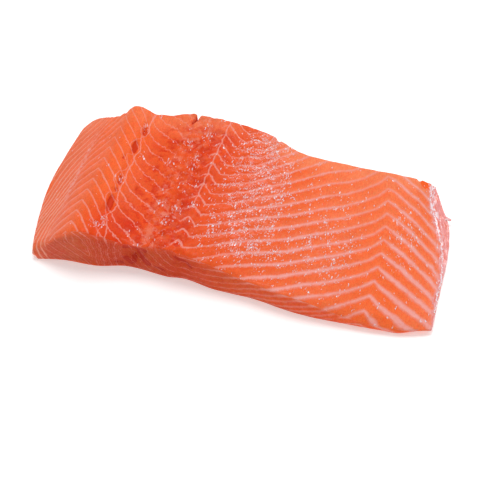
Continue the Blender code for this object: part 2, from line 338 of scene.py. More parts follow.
def buildGrids():
    f = fillet
    columnCount = round((f["bellyX"] - f["backX"]) / f["spacing"])
    rowCount = round(f["frontToRear"] / f["spacing"])
    columns, v = np.meshgrid(np.linspace(f["backX"], f["bellyX"], columnCount + 1),
                             np.linspace(0, 1, rowCount + 1), indexing="ij")
    x, y = outline(columns, v)
    top = np.stack([x, y, topSurface(x, y, v)], -1)

    i, j = np.meshgrid(range(columnCount + 1), range(rowCount + 1), indexing="ij")
    number = i * (rowCount + 1) + j
    rim = np.concatenate([number[:, 0], number[-1, 1:], number[-2::-1, -1], number[0, -2:0:-1]])
    flat = top.reshape(-1, 3)[rim]
    along = np.roll(flat, -3, axis=0) - np.roll(flat, 3, axis=0)
    outward = np.stack([along[:, 1], -along[:, 0]], -1)
    outward /= np.linalg.norm(outward, axis=1)[:, None]

    walls = np.array([wallPoints(flat, outward, down) for down in ringDown])

    # underside, drawn in from its four edges
    edge = np.zeros_like(top)
    base = walls[-1]
    edge.reshape(-1, 3)[rim] = base
    s = (i / columnCount)[..., None]
    t = (j / rowCount)[..., None]
    under = (1 - t) * edge[:, :1] + t * edge[:, -1:] + (1 - s) * edge[:1] + s * edge[-1:]
    under -= (1 - s) * (1 - t) * edge[0, 0] + s * (1 - t) * edge[-1, 0]
    under -= (1 - s) * t * edge[0, -1] + s * t * edge[-1, -1]
    lift = tipLift(under[..., 0], under[..., 1], top[..., 2])
    inner = np.minimum(np.minimum(i, columnCount - i), np.minimum(j, rowCount - j)) / 8
    hollow = 0.12 * (1 + lumps(under, 4.0, 9.0)) * np.clip(inner, 0, 1)
    under[..., 2] = np.where(inner > 0, lift + hollow, edge[..., 2])
    return top, walls, under, number, rim


def surfaceFields(points, depth):
    # what the flesh shader needs to know at each point
    x, y, z = points[..., 0], points[..., 1], points[..., 2]
    u, count = countLines(x, y, depth)
    flatU = straighten(x, y)
    fields = {
        "runAlong": u,
        "lineCount": count,
        "linePace": linePace(points, count),
        "slopeCount": countSlopeLines(x, y, depth),
        "fleshDepth": depth,
        "flatU": flatU,
    }
    fields["slopePace"] = linePace(points, fields["slopeCount"])
    return fields


print("building the fillet")
top, walls, under, number, rim = buildGrids()
topZ = top[..., 2]
topFields = surfaceFields(top, np.zeros_like(topZ))
closedWalls = np.concatenate([walls, walls[:, :1]], axis=1)
wallFields = surfaceFields(closedWalls, closedWalls[:1, :, 2] - closedWalls[..., 2])
wallFields["lineCount"] = np.where(closedWalls[..., 0] > 40, wallFields["lineCount"],
                                   countOnCut(closedWalls[..., 0], closedWalls[..., 2]))
wallFields["linePace"] = linePace(closedWalls, wallFields["lineCount"])
wallFields = {name: values[:, :-1] for name, values in wallFields.items()}
underFields = surfaceFields(under, topZ - under[..., 2])


def joinPatches(fromTop, fromWalls, fromUnder):
    # one list for the whole mesh: top, wall rings below the rim, then the underside's inside
    inner = np.ones(number.size, bool)
    inner[rim] = False
    shape = (-1,) + np.shape(fromTop)[2:]
    return np.concatenate([np.reshape(fromTop, shape), np.reshape(fromWalls[1:], shape),
                           np.reshape(fromUnder, shape)[inner]])


def gridQuads(index):
    return np.stack([index[:-1, :-1], index[1:, :-1], index[1:, 1:], index[:-1, 1:]], -1).reshape(-1, 4)


def buildFaces():
    ringCount, rimCount = fillet["wallRings"], len(rim)
    ring = [rim] + [number.size + n * rimCount + np.arange(rimCount) for n in range(ringCount)]
    faces = [gridQuads(number)]
    for above, below in zip(ring, ring[1:]):
        nextAbove, nextBelow = np.roll(above, -1), np.roll(below, -1)
        faces.append(np.stack([above, below, nextBelow, nextAbove], -1))
    underIndex = np.full(number.size, -1)
    underIndex[rim] = ring[-1]
    free = underIndex < 0
    underIndex[free] = number.size + ringCount * rimCount + np.arange(free.sum())
    faces.append(gridQuads(underIndex.reshape(number.shape))[:, ::-1])
    return np.concatenate(faces)


def buildThread(near):
    # a loose thread of membrane sticking out at the belly edge, as rings around a line
    thread = fillet["thread"]
    root = near[np.argmin(np.hypot(near[:, 0] - thread["root"][0], near[:, 1] - thread["root"][1]))]
    reach = np.array(thread["reach"])
    sideways = np.array([-reach[1], reach[0], 0]) / np.hypot(reach[0], reach[1])
    t, turn = np.meshgrid(np.linspace(0, 1, thread["rings"]),
                          np.linspace(0, 2 * np.pi, thread["sides"], endpoint=False), indexing="ij")
    half = thread["half"] * (1 - 0.45 * t ** 2) * (1 + 0.2 * np.sin(9 * t + 2 * turn))
    half = half * np.sqrt(1.0001 - fade(t, 0.85, 1.0))
    place = root + t[..., None] * reach + (half * np.cos(turn))[..., None] * sideways
    place[..., 2] += 0.05 + 0.45 * half * np.sin(turn)
    index = np.arange(t.size).reshape(t.shape)
    quads = gridQuads(np.concatenate([index, index[:, :1]], axis=1))[:, ::-1]
    return place.reshape(-1, 3), quads


points = joinPatches(top, walls, under)
fields = {name: joinPatches(topFields[name], wallFields[name], underFields[name]) for name in topFields}
downShare = joinPatches(0 * topZ, ringDown[:, None] + 0 * walls[..., 2], 0 * topZ + 1)
faces = buildFaces()

# pale strands of connective tissue along the pin bones, as (y, x)
strands = {
    "strandRight": ((-19, -53), (-15, -53.7), (-12, -54.8), (-9.6, -55.1), (-8.4, -54), (-5, -53.2),
                    (-2.5, -53.4), (0, -54.2), (3, -54.5), (6, -54.4), (9, -53.8), (13, -54.3),
                    (17, -54), (19.5, -53.6), (22, -54.1), (24, -53.7), (26.5, -53), (29, -53.4),
                    (33, -54.4), (37, -52.6), (42, -53.2), (48, -52.4)),
    "strandLeft": ((-19, -56), (-13, -55), (-8, -56.4), (-3, -57.9), (0.4, -57.7), (1.6, -55.4),
                   (4.6, -56.4), (8, -58.1), (12, -57), (15, -55), (19.4, -56), (21.6, -57),
                   (23, -55.2), (27, -57), (31, -56), (33, -54.4), (37, -55.6), (42, -53.3), (48, -52.9)),
}
x, y, z = points.T
for name, line in strands.items():
    fields[name] = x - smoothLine(line, y)
sag = 0.3 * np.sin(np.pi * (fields["lineCount"] % 1.0))   # the midline chain bows between its knots
fields["midline"] = x - foldPlace(folds[4], y) + sag

isTop = np.zeros(len(points))
isTop[:number.size] = 1
isUnder = np.zeros(len(points))
isUnder[number.size + len(rim) * (fillet["wallRings"] - 1):] = 1
isWall = 1 - isTop - isUnder
isFront = isWall * (y < 0)
flatU = fields["flatU"]


def capsule(px, py, a, b, half):
    # 1 on the line from a to b, falling to 0 at half its width
    a, b = np.array(a, float), np.array(b, float)
    run = b - a
    t = np.clip(((px - a[0]) * run[0] + (py - a[1]) * run[1]) / (run @ run), 0, 1)
    return bell(np.hypot(px - a[0] - t * run[0], py - a[1] - t * run[1]), half)


fields["skinSide"] = isUnder
fields["cutFace"] = isWall * fade(downShare, -0.02, 0.2) * (0.2 + 0.8 * fade(x, -87, -74))
fields["cutFace"] *= (1 - 0.55 * fade(x, 30, 52)) * (1 - 0.6 * fade(x, 66, 76))
# no fat line where two patterns of the cut faces meet
meeting = np.maximum(np.maximum(bell(x + 46, 2.5), bell(x + 25, 2.5)), np.maximum(bell(x - 40, 2), x < -84))
fields["cutLines"] = 1 - isWall * meeting
tearShare = np.clip(tearDepth(x, y) / fillet["tear"]["depth"], 0, 1)
fields["darkSpots"] = np.maximum(pitShape(x, y)[1] * isTop, tearShare * (1 - isUnder))
for ax, az, bx, bz, half, share in fillet["gashesAndShade"]:
    spot = 1.6 * share * isFront * capsule(x, z, (ax, az), (bx, bz), half * 1.5)
    fields["darkSpots"] = np.maximum(fields["darkSpots"], np.minimum(spot, share))
fields["edgeAway"] = np.where(isUnder > 0, -9, x - smoothLine(membraneEdge, y))
flapX, flapY, flapHalf = fillet["flap"]
fields["flap"] = bell(np.hypot(x - flapX, y - flapY), flapHalf * 1.4) * isTop
glints = [bell(np.hypot(x - gx, y - gy), half * 1.4) for gx, gy, half in fillet["glints"]]
fields["glints"] = np.max(glints, axis=0) * isTop
wetTop = 0.012 + 0.04 * fade(flatU, -46, -40) + 1.1 * bell(flatU + 3, 19) * fade(y, -24, -4)
wetTop += 0.3 * fade(flatU, 2, 12) * (1 - fade(flatU, 36, 50)) * bell(y - 4, 34)
for atU, halfU, atY, halfY, share in fillet["wetPatches"]:
    wetTop += share * bell(flatU - atU, halfU) * bell(y - atY, halfY)
fields["wetness"] = np.clip(wetTop, 0, 1.3) * isTop

# the thread takes its values from the nearest points above, and counts as membrane throughout
thread, threadFaces = buildThread(top.reshape(-1, 3))
sides = fillet["thread"]["sides"]
threadAway = np.hypot(x[:, None] - thread[::sides, 0], y[:, None] - thread[::sides, 1])
nearest = np.argmin(threadAway + 99 * isUnder[:, None], axis=0)
for name, values in fields.items():
    fields[name] = np.concatenate([values, np.repeat(values[nearest], sides)])
fields["edgeAway"][len(points):] = 3.0
allFaces = faces.tolist() + (threadFaces + len(points)).tolist()
points = np.vstack([points, thread])
allFaces.append(list(range(len(points) - sides, len(points))))

low = np.array(points.min(0))
high = np.array(points.max(0))
shift = np.array(cadLow) / mm - low
shift[:2] = (np.array(cadLow)[:2] + np.array(cadHigh)[:2]) / 2 / mm - (low[:2] + high[:2]) / 2
print("box mm", (high - low).round(2), "packed", ((np.array(cadHigh) - np.array(cadLow)) / mm).round(2))
print("shift mm", shift.round(3))

flesh = bpy.data.meshes.new("filletFlesh")
flesh.from_pydata(((points + shift) * mm).tolist(), [], allFaces)
flesh.shade_smooth()
flesh.set_sharp_from_angle(angle=math.radians(fillet["sharpAngle"]))
softRim = points[:, 0] < fillet["softRimX"]
sharp = flesh.attributes["sharp_edge"].data
for edge in flesh.edges:
    if softRim[edge.vertices[0]]:
        sharp[edge.index].value = False
for name, values in fields.items():
    attribute = flesh.attributes.new(name, "FLOAT", "POINT")
    attribute.data.foreach_set("value", np.asarray(values, np.float32).ravel())
filletFlesh = addObject("filletFlesh", flesh)
print("fillet has", sum(len(p.vertices) - 2 for p in flesh.polygons), "triangles")


# small helpers for shaders

def tone(red, green, blue):
    # a colour as seen on screen, 0 to 255
    return tuple((c / 12.92 if c <= 0.04045 else ((c + 0.055) / 1.055) ** 2.4)
                 for c in (red / 255, green / 255, blue / 255)) + (1.0,)


def join(tree, socket, value):
    if isinstance(value, bpy.types.NodeSocket):
        tree.links.new(value, socket)
    elif value is not None:
        socket.default_value = value


def setInputs(tree, node, values):
    for name, value in values.items():
        join(tree, node.inputs[name], value)


def addNode(tree, kind, inputs=None, **settings):
    # inputs by name or number, each a value or another node's socket
    made = tree.nodes.new("ShaderNode" + kind)
    for name, value in settings.items():
        setattr(made, name, value)
    setInputs(tree, made, inputs or {})
    return made


def calc(tree, operation, a, b=None, c=None):
    return addNode(tree, "Math", {0: a, 1: b, 2: c}, operation=operation).outputs[0]


def ramp(tree, value, start, end, low=0.0, high=1.0):
    inputs = {"Value": value, "From Min": start, "From Max": end, "To Min": low, "To Max": high}
    return addNode(tree, "MapRange", inputs, interpolation_type="SMOOTHSTEP").outputs["Result"]


def spread(tree, value, first, last):
    # evenly from 0 at the first to 1 at the last
    inputs = {"Value": value, "From Min": first, "From Max": last}
    return addNode(tree, "MapRange", inputs).outputs["Result"]


def blendColour(tree, share, a, b, way="MIX"):
    return addNode(tree, "Mix", {0: share, 6: a, 7: b}, data_type="RGBA", blend_type=way).outputs[2]


def speckle(tree, vector, scale, detail=2.0, rough=0.5):
    inputs = {"Vector": vector, "Scale": scale, "Detail": detail, "Roughness": rough}
    return addNode(tree, "TexNoise", inputs).outputs[0]


def drift(tree, place, scale, detail=2.0, rough=0.5):
    # noise around zero
    return calc(tree, "SUBTRACT", speckle(tree, place, scale, detail, rough), 0.5)


def field(tree, name):
    return addNode(tree, "Attribute", attribute_name=name).outputs["Fac"]


def vectorOf(tree, x, y, z):
    return addNode(tree, "CombineXYZ", {0: x, 1: y, 2: z}).outputs[0]


def times(tree, *values):
    result = values[0]
    for value in values[1:]:
        result = calc(tree, "MULTIPLY", result, value)
    return result


def near(tree, value, middle, outer, inner, low=0.0, high=1.0):
    # high close to the middle value, low beyond the outer distance
    away = calc(tree, "ABSOLUTE", calc(tree, "SUBTRACT", value, middle))
    return ramp(tree, away, outer, inner, low, high)


def patches(tree, place, scale, start, end, low=0.0, high=1.0, detail=3.0, rough=0.6):
    # noise cut into soft patches
    return ramp(tree, speckle(tree, place, scale, detail, rough), start, end, low, high)


def shadeBy(tree, colour, red, rest):
    # the colour times one value for its red and another for its green and blue
    return blendColour(tree, 1.0, colour, vectorOf(tree, red, rest, rest), "MULTIPLY")


def newMaterial(name):
    material = bpy.data.materials.new(name)
    material.use_nodes = True
    return material, material.node_tree, material.node_tree.nodes["Principled BSDF"]


def newGroup(name, inputs, outputs):
    tree = bpy.data.node_groups.new(name, "ShaderNodeTree")
    for label, kind, value in inputs:
        socket = tree.interface.new_socket(label, in_out="INPUT", socket_type="NodeSocket" + kind)
        if value is not None:
            socket.default_value = value
    for label, kind in outputs:
        tree.interface.new_socket(label, in_out="OUTPUT", socket_type="NodeSocket" + kind)
    return tree, tree.nodes.new("NodeGroupInput").outputs, tree.nodes.new("NodeGroupOutput").inputs


def useGroup(tree, group, **values):
    return addNode(tree, "Group", values, node_tree=group).outputs


def makeFatLineGroup():
    # a pale line at every whole number of the count; fibre ends fray its front edge
    tree, given, result = newGroup(
        "fatLine",
        [("Count", "Float", 0.0), ("Pace", "Float", 6.0), ("Width", "Float", 1.0),
         ("Soft", "Float", 0.3), ("Wander", "Float", 0.3), ("Fibre", "Float", 0.5),
         ("Ragged", "Float", 0.5), ("Place", "Vector", None)],
        [("Line", "Float"), ("Crest", "Float"), ("FrontEdge", "Float")])
    slow = drift(tree, given["Place"], 0.22)
    fine = drift(tree, given["Place"], 0.62, 3.0, 0.6)
    wander = calc(tree, "MULTIPLY_ADD", fine, 1.1, slow)
    wander = times(tree, wander, given["Wander"])
    count = calc(tree, "ADD", given["Count"], calc(tree, "DIVIDE", wander, given["Pace"]))
    across = calc(tree, "FRACT", calc(tree, "ADD", count, 0.5))
    side = times(tree, calc(tree, "SUBTRACT", across, 0.5), given["Pace"])
    swell = calc(tree, "MULTIPLY_ADD", drift(tree, given["Place"], 0.3), 0.7, 0.5)
    tooth = times(tree, calc(tree, "SUBTRACT", given["Fibre"], 0.5), given["Ragged"])
    tooth = times(tree, tooth, ramp(tree, side, 0.15, -0.25, 0.25, 1.0))
    half = calc(tree, "MULTIPLY_ADD", given["Width"], swell, tooth)
    away = calc(tree, "SUBTRACT", calc(tree, "ABSOLUTE", side), half)
    soft = times(tree, given["Soft"], ramp(tree, side, 0.3, -0.3, 0.8, 1.3))
    join(tree, result["Line"], ramp(tree, away, soft, times(tree, soft, -1.0)))
    join(tree, result["Crest"], ramp(tree, away, -0.1, -0.95))
    edge = calc(tree, "ABSOLUTE", calc(tree, "ADD", side, calc(tree, "ADD", half, 0.3)))
    join(tree, result["FrontEdge"], ramp(tree, edge, 0.9, 0.1))
    return tree


def makeStrandGroup():
    # a single pale strand where a distance field passes through zero
    tree, given, result = newGroup(
        "strand",
        [("Away", "Float", 0.0), ("Width", "Float", 0.7), ("Soft", "Float", 0.25),
         ("Wander", "Float", 0.5), ("Place", "Vector", None)],
        [("Line", "Float")])
    away = calc(tree, "MULTIPLY_ADD", drift(tree, given["Place"], 0.6), given["Wander"], given["Away"])
    fray = drift(tree, given["Place"], 2.0)
    half = times(tree, given["Width"], calc(tree, "MULTIPLY_ADD", fray, 0.8, 0.5))
    away = calc(tree, "SUBTRACT", calc(tree, "ABSOLUTE", away), half)
    join(tree, result["Line"], ramp(tree, away, given["Soft"], times(tree, given["Soft"], -1.0)))
    return tree


def makeGrainGroup():
    # muscle fibres running across the fat lines, and soft mottling
    tree, given, result = newGroup(
        "fleshGrain",
        [("Along", "Float", 0.0), ("Across", "Float", 0.0), ("Down", "Float", 0.0),
         ("Place", "Vector", None)],
        [("Fibre", "Float"), ("Mottle", "Float"), ("Height", "Float")])
    stretched = vectorOf(tree, given["Along"], times(tree, given["Across"], 0.22), given["Down"])
    fibre = speckle(tree, stretched, 1.9, 3.0, 0.65)
    cloud = speckle(tree, given["Place"], 0.12, 3.0, 0.55)
    blotch = speckle(tree, given["Place"], 0.7, 3.0, 0.6)
    pores = speckle(tree, given["Place"], 2.6, 3.0, 0.6)
    mottle = calc(tree, "MULTIPLY_ADD", blotch, 0.45, times(tree, cloud, 0.55))
    height = calc(tree, "MULTIPLY_ADD", pores, 0.5, times(tree, fibre, 0.7))
    join(tree, result["Fibre"], fibre)
    join(tree, result["Mottle"], mottle)
    join(tree, result["Height"], height)
    return tree


def makePaintedGlintGroup():
    # painted highlights: small white glints of wet spots, at most one to a cell
    tree, given, result = newGroup(
        "paintedGlints",
        [("Place", "Vector", None), ("PerMm", "Float", 1.0), ("Reach", "Float", 0.3),
         ("Chance", "Float", 0.3)],
        [("PaintedGlint", "Float")])
    warp = addNode(tree, "TexNoise", {"Vector": given["Place"], "Scale": 2.4}).outputs[1]
    shifted = addNode(tree, "VectorMath", {0: warp, 1: (1.1, 1.1, 0.0), 2: given["Place"]},
                      operation="MULTIPLY_ADD").outputs[0]
    cells = addNode(tree, "TexVoronoi", {"Vector": shifted, "Scale": given["PerMm"]},
                    voronoi_dimensions="2D").outputs
    luck = addNode(tree, "SeparateColor", {0: cells["Color"]}).outputs
    reach = times(tree, given["Reach"], calc(tree, "ADD", luck[1], 0.5))
    spot = ramp(tree, cells["Distance"], reach, times(tree, reach, 0.55))
    bright = calc(tree, "MULTIPLY_ADD", calc(tree, "POWER", luck[2], 1.5), 0.65, 0.35)
    lucky = calc(tree, "LESS_THAN", luck[0], given["Chance"])
    join(tree, result["PaintedGlint"], times(tree, spot, lucky, bright))
    return tree


fatLine = makeFatLineGroup()
strand = makeStrandGroup()
fleshGrain = makeGrainGroup()
paintedGlints = makePaintedGlintGroup()

# tones of the flesh from the back of the fish to its belly edge, at straightened x
fleshLook = {
    "tones": ((-88, (246, 110, 64)), (-74, (247, 111, 68)), (-58, (248, 103, 44)), (-48, (239, 90, 38)),
              (-33, (239, 87, 34)), (-24, (237, 80, 27)), (-10, (240, 90, 34)), (8, (244, 100, 44)),
              (30, (250, 111, 59)), (60, (255, 110, 49)), (76, (254, 122, 74))),
    "fatTone": (242, 156, 143),
    "crestTone": (247, 178, 174),
    "fineFatTone": (246, 164, 140),
    "redTone": (212, 44, 8),
    "rearSheenTone": (254, 124, 74),
    "bandTone": (255, 146, 106),
    "warmTone": (232, 62, 2),
    "rimSheenTone": (253, 144, 100),
    "rimSheenShare": ((-90, 0.3), (-62, 0.3), (-50, 0.4), (-26, 0.6), (-17, 0.05), (-8, 0.1), (12, 0.72),
                 (79, 0.72)),
    "smearTone": (248, 176, 174),
    "hazeTone": (240, 132, 104),
    "pitTone": (206, 42, 6),
    "gashAndShadeTone": (188, 34, 0),
    # multiplied in on the cut faces, at x: partly their own deeper tone, partly painted shade
    "cutToneAndShade": ((-88, (246, 142, 76)), (-75, (222, 186, 190)), (-62, (217, 218, 240)),
                 (-48, (221, 186, 180)), (-30, (222, 220, 200)), (-12, (231, 210, 180)),
                 (5, (237, 230, 200)), (30, (244, 208, 140)), (76, (244, 186, 120))),
    "membraneTone": (244, 152, 148),
    "foldTone": (240, 118, 92),
    "flapTone": (255, 100, 36),
    "fleckTone": (253, 244, 255),
    "membraneHighlightTone": (255, 240, 246),
    # the fat lines, at straightened x: millimetres wide, how strong, how wavy, how frayed
    "width": ((-90, 0.5), (-70, 0.5), (-54, 0.45), (-38, 0.45), (-25, 0.55), (-22.5, 0.8), (-19.5, 0.65),
              (-16, 0.5), (-12, 0.55), (-5, 0.8), (6, 1.15), (20, 1.4), (36, 1.2), (47, 0.95), (52, 1.1),
              (57, 1.8), (64, 2.1), (74, 1.9), (79, 1.2)),
    "strength": ((-90, 0), (-79, 0), (-75, 0.75), (-58, 0.9), (-55, 0.5), (-51, 0.9), (-42, 0.85),
                 (-37, 0.35), (-32, 0.0), (-26.5, 0.0), (-24.5, 0.9), (-17, 0.9), (-12, 0.6), (0, 0.8),
                 (12, 0.95), (79, 0.95)),
    "wander": ((-90, 0.5), (-60, 0.5), (-52, 1.6), (-47, 2.6), (-38, 3.2), (-26, 1.3), (-14, 0.8),
               (10, 0.5), (79, 0.4)),
    "ragged": ((-90, 0.5), (-55, 0.7), (-49, 1.6), (-38, 1.9), (-27, 1.2), (-22, 2.0), (-17, 1.4),
               (0, 1.9), (40, 1.6), (54, 0.8), (79, 0.5)),
    "surface": {"Specular IOR Level": 0.1, "Coat Roughness": 0.12, "Subsurface Weight": 0.1,
                "Subsurface Radius": (1.0, 0.35, 0.2), "Subsurface Scale": 1.0 * mm},
    "bumpDistance": 0.16,     # millimetres
    # painted glints: cells a millimetre and reach within a cell
    "smallPaintedGlints": (1.7, 0.33),
    "largePaintedGlints": (0.95, 0.24),
}


def lookup(tree, points, value):
    # a value that changes over x, as a curve
    first, last = points[0][0], points[-1][0]
    top = max(py for px, py in points)
    made = addNode(tree, "FloatCurve", {"Value": spread(tree, value, first, last)})
    curve = made.mapping.curves[0]
    for n, (px, py) in enumerate(points):
        place = ((px - first) / (last - first), py / top)
        if n in (0, len(points) - 1):
            curve.points[0 if n == 0 else -1].location = place
        else:
            curve.points.new(*place)
    for point in curve.points:
        point.handle_type = "VECTOR"
    made.mapping.update()
    return times(tree, made.outputs[0], top)


def toneRamp(tree, stops, value):
    # a tone that changes over x
    first, last = stops[0][0], stops[-1][0]
    made = addNode(tree, "ValToRGB", {"Fac": spread(tree, value, first, last)})
    elements = made.color_ramp.elements
    for n, (x, colour) in enumerate(stops):
        place = (x - first) / (last - first)
        element = elements[n] if n < 2 else elements.new(place)
        element.position = place
        element.color = tone(*colour)
    return made.outputs["Color"]


def paint(tree, colour, share, name):
    return blendColour(tree, share, colour, tone(*fleshLook[name]))


def readSurface(tree):
    # the place in millimetres, the values stored on the mesh and the grain, kept by name
    at = SimpleNamespace(**{name: field(tree, name) for name in fields})
    inputs = {0: addNode(tree, "TexCoord").outputs["Object"], "Scale": 1 / mm}
    at.place = addNode(tree, "VectorMath", inputs, operation="SCALE").outputs[0]
    at.placeX, at.placeY, _ = addNode(tree, "SeparateXYZ", {0: at.place}).outputs
    at.across = times(tree, at.lineCount, 6.0)
    at.top = calc(tree, "SUBTRACT", 1.0, calc(tree, "MAXIMUM", at.cutFace, at.skinSide))
    at.fibre, at.mottle, at.grainHeight = useGroup(tree, fleshGrain, Along=at.runAlong, Across=at.across,
                                                   Down=at.fleshDepth, Place=at.place)
    return at


def addFatLines(tree, at):
    # fat lines, and fainter ones between them on the cut faces
    look, cut, flatU = fleshLook, at.cutFace, at.flatU
    width = times(tree, lookup(tree, look["width"], flatU), ramp(tree, at.placeY, -35.0, 32.0, 1.35, 0.72),
                  ramp(tree, cut, 0.0, 1.0, 1.0, 0.6))
    wander = calc(tree, "MULTIPLY_ADD", cut, 0.7, lookup(tree, look["wander"], flatU))
    lines = useGroup(tree, fatLine, Count=at.lineCount, Pace=at.linePace, Width=width,
                     Soft=ramp(tree, flatU, -20.0, 40.0, 0.24, 0.66), Wander=wander, Fibre=at.fibre,
                     Ragged=lookup(tree, look["ragged"], flatU), Place=at.place)
    strength = calc(tree, "MAXIMUM", lookup(tree, look["strength"], flatU), times(tree, cut, 0.8))
    at.fat = times(tree, lines["Line"], strength, at.cutLines,
                   patches(tree, at.place, 1.1, 0.3, 0.6, 0.78, 1.0))
    at.crest, at.frontEdge = lines["Crest"], lines["FrontEdge"]
    faint = useGroup(tree, fatLine, Count=times(tree, at.lineCount, 3.0), Width=0.24, Soft=0.2,
                     Pace=times(tree, at.linePace, 0.333), Wander=1.5, Fibre=at.fibre, Ragged=0.5,
                     Place=at.place)
    at.faint = times(tree, faint["Line"], cut, at.cutLines, ramp(tree, at.placeX, -43.0, -37.0, 0.32, 0.14),
                     patches(tree, at.place, 0.35, 0.4, 0.6, 0.3, 1.0, detail=2.0, rough=0.5))


def addSlopeLines(tree, at):
    # close lines on the slope of the back, and the pale band where they bend
    lines = useGroup(tree, fatLine, Count=at.slopeCount, Pace=at.slopePace,
                     Width=ramp(tree, at.placeY, -20.0, 30.0, 0.62, 0.46), Soft=0.26, Wander=0.8,
                     Fibre=at.fibre, Ragged=0.5, Place=at.place)
    at.slopeFat = times(tree, lines["Line"], ramp(tree, at.flatU, -75.5, -77.5),
                        ramp(tree, at.placeY, 2.0, 24.0, 0.95, 0.65))
    at.band = times(tree, near(tree, at.flatU, -76.3, 1.6, 0.2), patches(tree, at.place, 0.7, 0.42, 0.60),
                    near(tree, at.placeY, 0.0, 24.0, 8.0, 0.1, 0.8), at.top)


def addStrands(tree, at):
    # strands at the pin bones and along the midline
    lines = [useGroup(tree, strand, Away=away, Width=width, Soft=soft, Wander=1.0, Place=at.place)["Line"]
             for away, width, soft in ((at.strandRight, 0.34, 0.2), (at.strandLeft, 0.25, 0.2),
                                       (at.midline, 0.5, 0.26))]
    strands = calc(tree, "MAXIMUM", lines[0], times(tree, lines[1], 0.8))
    strands = calc(tree, "MAXIMUM", strands, times(tree, lines[2], ramp(tree, at.placeY, -13.0, -5.0)))
    at.strands = times(tree, strands, 0.85, at.top)


def addTornFlesh(tree, at):
    # red blotches, pale haze and broken threads along the midline
    red = times(tree, near(tree, at.flatU, -34.0, 20.0, 10.0), at.top,
                patches(tree, at.place, 0.24, 0.45, 0.62, detail=4.0), 0.75)
    deep = times(tree, near(tree, at.flatU, -28.0, 6.0, 1.5), at.top,
                 patches(tree, at.place, 0.35, 0.38, 0.56), 0.6)
    at.red = times(tree, calc(tree, "MAXIMUM", red, deep), ramp(tree, at.placeY, 36.0, 27.0, 0.25, 1.0))
    torn = times(tree, near(tree, at.flatU, -31.5, 12.0, 4.0), at.top)
    at.haze = times(tree, torn, ramp(tree, at.flatU, -26.5, -32.0, 0.3, 1.0),
                    patches(tree, at.place, 0.31, 0.48, 0.64, detail=4.0, rough=0.65), 0.65)
    at.vein = times(tree, near(tree, speckle(tree, at.place, 0.17, 3.0, 0.55), 0.5, 0.030, 0.004), torn,
                    patches(tree, at.place, 0.43, 0.45, 0.65, detail=1.0, rough=0.5), 0.4)


def addMembrane(tree, at):
    # membrane on the belly edge, with painted highlight streaks and folds along it
    ragged = calc(tree, "MULTIPLY_ADD", speckle(tree, at.place, 0.3, 4.0, 0.6), 4.4, -2.2)
    inside = calc(tree, "ADD", at.edgeAway, ragged)
    at.membrane = ramp(tree, inside, -0.3, 0.5)
    at.nearMembrane = times(tree, ramp(tree, inside, -2.2, 0.3), ramp(tree, at.fibre, 0.35, 0.6, 0.1, 0.5))
    lengthwise = vectorOf(tree, times(tree, at.edgeAway, 1.1), times(tree, at.placeY, 0.24), 0.0)
    at.streak = speckle(tree, lengthwise, 1.0, 3.0, 0.55)
    at.fold = times(tree, ramp(tree, at.streak, 0.47, 0.38), at.membrane, 0.75)
    # painted highlights: white streaks on the membrane and a white line near its edge
    shine = times(tree, ramp(tree, at.streak, 0.45, 0.53), patches(tree, at.place, 0.65, 0.43, 0.52),
                  near(tree, inside, 1.6, 2.6, 0.6), at.membrane, ramp(tree, at.placeY, 2.0, 22.0, 0.25, 0.9))
    highlightLine = useGroup(tree, strand, Away=calc(tree, "SUBTRACT", at.edgeAway, 1.2), Width=0.62, Soft=0.2,
                    Wander=2.6, Place=at.place)
    highlightLine = times(tree, highlightLine["Line"], patches(tree, at.place, 0.9, 0.40, 0.50), at.top,
                 ramp(tree, at.placeY, 42.0, 36.0))
    at.shine = calc(tree, "MAXIMUM", shine, highlightLine)


def addPaintedGlints(tree, at):
    # painted glints, most of all in front of the fat lines, and faint painted sheen
    dashes = vectorOf(tree, at.runAlong, times(tree, at.across, 0.5), 0.0)
    chance = times(tree, at.wetness, calc(tree, "MULTIPLY_ADD", at.frontEdge, 1.2, 0.65),
                   patches(tree, at.place, 0.26, 0.42, 0.60, 0.15, 1.5))
    chance = calc(tree, "MULTIPLY_ADD", at.glints, 0.5, chance)
    largeChance = calc(tree, "MULTIPLY_ADD", at.glints, 0.6, times(tree, chance, 0.5))
    perMm, reach = fleshLook["smallPaintedGlints"]
    small = useGroup(tree, paintedGlints, Place=dashes, PerMm=perMm, Reach=reach, Chance=chance)["PaintedGlint"]
    perMm, reach = fleshLook["largePaintedGlints"]
    large = useGroup(tree, paintedGlints, Place=dashes, PerMm=perMm, Reach=reach, Chance=largeChance)["PaintedGlint"]
    at.fleck = times(tree, calc(tree, "MAXIMUM", small, large), at.top,
                     calc(tree, "MULTIPLY_ADD", at.membrane, -0.85, 1.0))
    # all the painted highlights together: the glints and the membrane's streaks
    at.white = calc(tree, "MAXIMUM", at.fleck, at.shine)
    # painted sheen: faint pale smears where the top is wet
    smearPlace = vectorOf(tree, times(tree, at.runAlong, 0.45), times(tree, at.across, 0.8), 0.0)
    at.smear = times(tree, patches(tree, smearPlace, 0.9, 0.48, 0.66), at.wetness, 0.16)


def addDarkSpots(tree, at):
    # pits on top, and gashes and painted shade under the rim in the front cut, with a ragged rim
    ragged = calc(tree, "MULTIPLY_ADD", speckle(tree, at.place, 0.9, 4.0, 0.65), 1.5, -0.75)
    start = ramp(tree, at.cutFace, 0.0, 1.0, 0.25, 0.37)
    end = ramp(tree, at.cutFace, 0.0, 1.0, 0.65, 0.47)
    at.spots = ramp(tree, calc(tree, "ADD", at.darkSpots, ragged), start, end)


